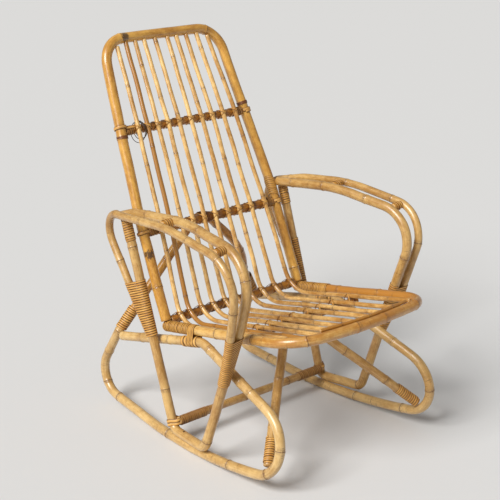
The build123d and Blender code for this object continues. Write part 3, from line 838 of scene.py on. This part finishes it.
# Apex lashing: three turns of dark peel that hold the flat top of the brace hoop to the back of the
# lower cross rail, a little to the left of the middle.
dark_peel = peel_finish("dark_cane_peel", dye(166, 104, 46), dye(104, 58, 22))
apex_turns = 3
apex_length = apex_turns * pitch
apex_middle = (apex_left[0] + apex_right[0]) / 2
apex_start = np.array([-apex_length / 2, 0, 0])
apex_way = np.array([1.0, 0, 0])
strip = pair_strip(
    straight(point((apex_middle, *lower_rail[1:])) + apex_start, apex_way, apex_length),
    straight(point((apex_middle, *apex_right[1:])) + apex_start, apex_way, apex_length),
    lower_rail_cane / 2 + tie_lift, steady(brace_cane / 2 + tie_lift), apex_turns,
)
place_peel(
    "brace_apex_lashing_peel", [strip], strip_width, strip_thickness, 14, dark_peel, "brace_apex_lashing"
)


# Slat ties: where a slat crosses a rail, a narrow strip of peel goes over it on a slant and back
# on the other slant, round the rail behind, and a few turns lie on the rail beside the slat.
slat_tie_width = 0.0042
slat_tie_thickness = 0.0014
slat_tie_pitch = 0.0036
slat_tie_aside = 0.008


def cross_strip(rail, slat, reach, cover, slant):
    """One turn over a slat and round the rail behind it. Its place along the slat is a cosine, drawn
    in over the slat, and its distance from the rail a steep power of a sine in front and a plain
    sine behind."""
    front = slat - rail
    apart = np.linalg.norm(front)
    front = front / apart
    upwards = np.cross(front, (1, 0, 0))
    angle = np.linspace(0, 2 * np.pi, 65)[:, None]
    rise = np.cos(angle)
    bulge = np.sin(angle)
    away = np.where(bulge > 0, (apart + cover) * np.abs(bulge) ** 0.25, reach * bulge)
    aside = -slant * rise * np.array([1.0, 0, 0])
    closer = 1 - 0.7 * np.sqrt(np.clip(bulge, 0, 1))
    line = rail + aside * cover + upwards * reach * rise * closer + front * away
    return line, upwards * rise + front * bulge + aside * 0.5


tied_rails = {
    "upper_rail_ties": (upper_rail, upper_rail_cane, peel),
    "lower_rail_ties": (lower_rail, lower_rail_cane, peel),
    "rear_rail_ties": (rear_rail, rear_rail_cane, brown_peel),
    "middle_rail_ties": (middle_rail, middle_rail_cane, peel),
}
for seed, (name, (rail, cane, finish)) in enumerate(tied_rails.items()):
    over = []
    beside = []
    reach = (cane + slat_tie_thickness) / 2
    cover = (slat_cane + slat_tie_thickness) / 2
    for number, line in enumerate(slat_lines):
        slat = line[np.linalg.norm(line[:, 1:] - point(rail)[1:], axis=1).argmin()]
        middle = np.array([slat[0], *point(rail)[1:]])
        over += [cross_strip(middle, slat, reach, cover, slant) for slant in (-1, 1)]
        start = middle + (slat_tie_aside, 0, 0)
        beside.append(ring_strip(start, (1, 0, 0), reach, slat_tie_pitch, 2, 100 * seed + number))
    place_peel(f"{name}_over", over, slat_tie_width, slat_tie_thickness, seed, finish)
    place_peel(f"{name}_beside", beside, slat_tie_width, slat_tie_thickness, seed, dark_peel)


# Post loops: broad pale peel that goes once round each post where a cross rail meets it, and in two
# turns round each rear upright and the end of the stretcher. More peel is wound round the right post
# over the arm, and a flat strip lies along the upper rail beside the left post.
def along_post(height):
    """Middle of the right post at a height, and the way up it."""
    low, high = (post_foot, post_bend) if height < post_bend[2] else (post_bend, hoop_corner)
    way = unit(point(high) - point(low))
    return at_height(point(high), point(low), height / 1000), way


loop_width = 0.0095
loop_thickness = 0.0036
loop_radius = (hoop_cane + loop_thickness) / 2
loop_turns = 1.3
loop_heights = {"right": (783, 535), "left": (793, 535)}
foot_loop_height = 0.050
foot_loop_length = 2 * loop_width
stretcher_butt = (264, 28, 0)
butt_radius = 0.0105
thin_peel = 0.0016
leg_radius = (arm_cane + thin_peel) / 2
for seed, side in enumerate(("right", "left")):
    strips = []
    for height in loop_heights[side]:
        middle, way = along_post(height)
        start = mirror_image(middle - way * loop_width / 2, side)
        way = mirror_image(way, side)
        strips.append(ring_strip(start, way, loop_radius, loop_width / 2, loop_turns, seed + 40))
    heel, head = arm_routes[side][-2:]
    leg_at = at_height(head, heel, foot_loop_height)
    butt_at = on_side(stretcher_butt, side) + (0, 0, leg_at[2])
    leg_run = straight(leg_at, unit(head - heel), foot_loop_length)
    butt_run = straight(butt_at, np.array(upward), foot_loop_length)
    strips.append(pair_strip(leg_run, butt_run, leg_radius, steady(butt_radius), 2))
    place_peel(f"post_loops_{side}", strips, loop_width, loop_thickness, 20 + seed, pale_peel)
post_wrap_height = 545
post_wrap_pitch = 0.0056
post_wrap_lean = 0.011
post_wrap_radius = (hoop_cane + thin_peel) / 2
middle, way = along_post(post_wrap_height)
post_wrap = ring_strip(middle, way, post_wrap_radius, post_wrap_pitch, 9, 60, post_wrap_lean)
place_peel("arm_post_wrap_right", [post_wrap], pitch, thin_peel, 30, gold_peel)
flat_strip = evenly(mm((-206, 298.5, 792.5), (-172, 298.5, 792.5)))
flat_width = 0.009
flat_thickness = 0.0030
strip_side = np.tile((0.0, -0.6, 0.8), (len(flat_strip), 1))
place_peel("upper_rail_strip", [(flat_strip, strip_side)], flat_width, flat_thickness, 31, pale_peel)


# Upright head wraps and spacer bands: thin golden peel wound round the top of each rear upright,
# where it is fixed under the arm, and three turns of peel round each stub between the arm canes.
head_wrap = 0.060
head_turns = 9
band_gap = 0.004
for seed, side in enumerate(("right", "left")):
    heel, head = arm_routes[side][-2:]
    leg_way = unit(head - heel)
    strip = ring_strip(head - leg_way * head_wrap, leg_way, leg_radius, pitch, head_turns, seed + 50)
    place_peel(f"upright_head_wrap_{side}", [strip], pitch, thin_peel, 24 + seed, gold_peel)
    strips = []
    for number, node in enumerate(spacer_depths):
        start, end = spacer_ends[node, side]
        way = unit(end - start)
        band_radius = (spacer_cane + thin_peel) / 2
        strips.append(ring_strip(start + way * band_gap, way, band_radius, pitch, 3, seed + number))
    place_peel(f"spacer_bands_{side}", strips, strip_width, thin_peel, 26 + seed, peel)


# Loose coil: thin dark strand hung in three loose turns on the left end of the upper rail. The turns
# differ in size and fan out below the rail, where nothing ties them.
strand_paint, wire, shader = new_material("dark_strand")
fray = wire.object_place().noise((900, 900, 900))
fray.ramp(0.35, 0.7).blend(dye(78, 52, 30), dye(44, 28, 16)).into(shader, "Base Color")
(fray * 0.3 + 0.3).into(shader, "Roughness")
coil_cord = 0.0018
coil_turns = 3
points_per_turn = 14
coil_start = (-0.160, 0.3059, 0.8035)
coil_step = 0.0026
coil_fan = 0.0022
coil_skew = 0.0045
turn = np.linspace(0, coil_turns, coil_turns * points_per_turn + 1)
angle = 2 * np.pi * turn
sag = 1 - np.cos(angle)
coil_radius = 0.026 + 0.003 * np.sin(1.9 * turn + 0.6)
coil_spread = coil_step * turn + coil_fan * sag * (turn - coil_turns / 2) + coil_skew * np.sin(angle)
coil_points = np.stack([
    coil_start[0] + coil_spread,
    coil_start[1] - coil_radius * np.sin(angle),
    coil_start[2] - coil_radius * sag,
    np.ones_like(turn),
], 1)
coil = bpy.data.curves.new("loose_coil_strand", "CURVE")
coil.dimensions = "3D"
spline = coil.splines.new("NURBS")
spline.points.add(len(coil_points) - 1)
spline.points.foreach_set("co", coil_points.ravel())
spline.points.foreach_set("radius", np.full(len(coil_points), coil_cord / 2))
spline.order_u = 3
spline.use_endpoint_u = True
coil_piece = place(coil, strand_paint, "dark_strand", "loose_coil")
coil_route = bpy.data.meshes.new_from_object(coil_piece)
route_points = np.empty(3 * len(coil_route.vertices))
coil_route.vertices.foreach_get("co", route_points)
bpy.data.meshes.remove(coil_route)
coil.bevel_depth = 1.0
coil.bevel_resolution = 3


# Stained bands: three narrow turns of dark stained peel round each post, under the upper rail on
# the left and over it on the right.
stained_peel = peel_finish("stained_cane_peel", dye(132, 78, 36), dye(70, 36, 14))
stained_width = 0.0034
stained_pitch = 0.0026
stained_heights = {"right": 799, "left": 764}
for side, height in stained_heights.items():
    middle, way = along_post(height)
    start = mirror_image(middle, side)
    strip = ring_strip(start, mirror_image(way, side), post_wrap_radius, stained_pitch, 3, 70)
    place_peel(f"stained_band_{side}", [strip], stained_width, thin_peel, 33, stained_peel)


# Nails: small dark round heads of rusted steel, two in each V foot, which fix it to its runner.
# They stand out of the cane by about a millimetre.
nail_paint, wire, shader = new_material("nail_steel")
rust = wire.object_place().noise((700, 700, 700))
rust.ramp(0.4, 0.65).blend(dye(48, 38, 32), dye(84, 50, 28)).into(shader, "Base Color")
(rust * 0.4 + 0.25).into(shader, "Roughness")
shader.inputs["Metallic"].default_value = 0.7
nail_radius = 0.0028
nail_height = 0.0012
nail_sink = 0.0003


def nail_mesh(name, spot, outward):
    """Low dome of rings round an axis: the radius is a cosine and the height a sine of one turn."""
    first = unit(np.cross(outward, (0.3, 0.5, 0.8)))
    second = np.cross(outward, first)
    angle = np.linspace(0, 2 * np.pi, 12, endpoint=False)[None, :, None]
    slope = np.linspace(0, 0.49 * np.pi, 6)[:, None, None]
    round_way = np.cos(angle) * first + np.sin(angle) * second
    dome = outward * (nail_height * np.sin(slope) - nail_sink)
    return tube_mesh(name, [(spot + nail_radius * np.cos(slope) * round_way + dome, {})])


# How far along the foot a nail is, as a share, and how steeply it points up.
foot_nails = ((0.08, 1.8), (0.66, 6.0))
for side in ("right", "left"):
    toe, heel = arm_routes[side][-3:-1]
    for number, (share, rise) in enumerate(foot_nails):
        outward = unit(mirror_image(np.array([1.0, 0, rise]), side))
        spot = toe + (heel - toe) * share + outward * arm_cane / 2
        mesh = nail_mesh(f"foot_nail_{side}_{number + 1}", spot, outward)
        place(mesh, nail_paint, "dark_strand")


# Floor, light and camera: a plain pale floor, soft daylight from the left and a pale sky, seen from
# the sitter's front right and from above.
floor_mesh = bpy.data.meshes.new("floor")
floor_half = 40
corners = floor_half * np.array([(-1, -1, 0), (1, -1, 0), (1, 1, 0), (-1, 1, 0)], float)
floor_mesh.from_pydata(corners.tolist(), [], [(0, 1, 2, 3)])
floor = bpy.data.objects.new("floor", floor_mesh)
bpy.context.scene.collection.objects.link(floor)
floor_paint, wire, shader = new_material("floor_paint")
shader.inputs["Base Color"].default_value = dye(216, 215, 213)
shader.inputs["Roughness"].default_value = 0.9
floor_mesh.materials.append(floor_paint)

world = bpy.data.worlds.new("pale_sky")
world.use_nodes = True
world.node_tree.nodes["Background"].inputs["Color"].default_value = (1.0, 1.0, 1.0, 1.0)
world.node_tree.nodes["Background"].inputs["Strength"].default_value = 0.27
bpy.context.scene.world = world


def aim(thing, azimuth, elevation, spot=None):
    """Stands a lamp or the camera at a spot, turned back towards the chair from an angle round it
    and an angle above the floor, in degrees."""
    turn = np.radians(azimuth)
    rise = np.radians(elevation)
    back = np.array([np.sin(turn) * np.cos(rise), -np.cos(turn) * np.cos(rise), np.sin(rise)])
    right = np.array([np.cos(turn), np.sin(turn), 0])
    matrix = np.eye(4)
    matrix[:3, :3] = np.stack([right, np.cross(back, right), back], 1)
    matrix[:3, 3] = 3 * back if spot is None else spot
    thing.matrix_world = matrix.T.tolist()
    bpy.context.scene.collection.objects.link(thing)


lamp_azimuth = -84
lamp_elevation = 42
lamp_spread = 28
daylight = bpy.data.lights.new("key_lamp", "SUN")
daylight.angle = np.radians(lamp_spread)
daylight.energy = 3.7
aim(bpy.data.objects.new("key_lamp", daylight), lamp_azimuth, lamp_elevation)

camera = bpy.data.cameras.new("camera")
camera.sensor_width = 36
camera.lens = 88.45
view_azimuth = -41.464
view_elevation = 18.025
view_spot = (-2061.1, -2295.0, 1487.7)
viewer = bpy.data.objects.new("camera", camera)
aim(viewer, view_azimuth, view_elevation, point(view_spot))
bpy.context.scene.camera = viewer
bpy.context.scene.view_settings.view_transform = "Standard"

bpy.context.view_layer.update()
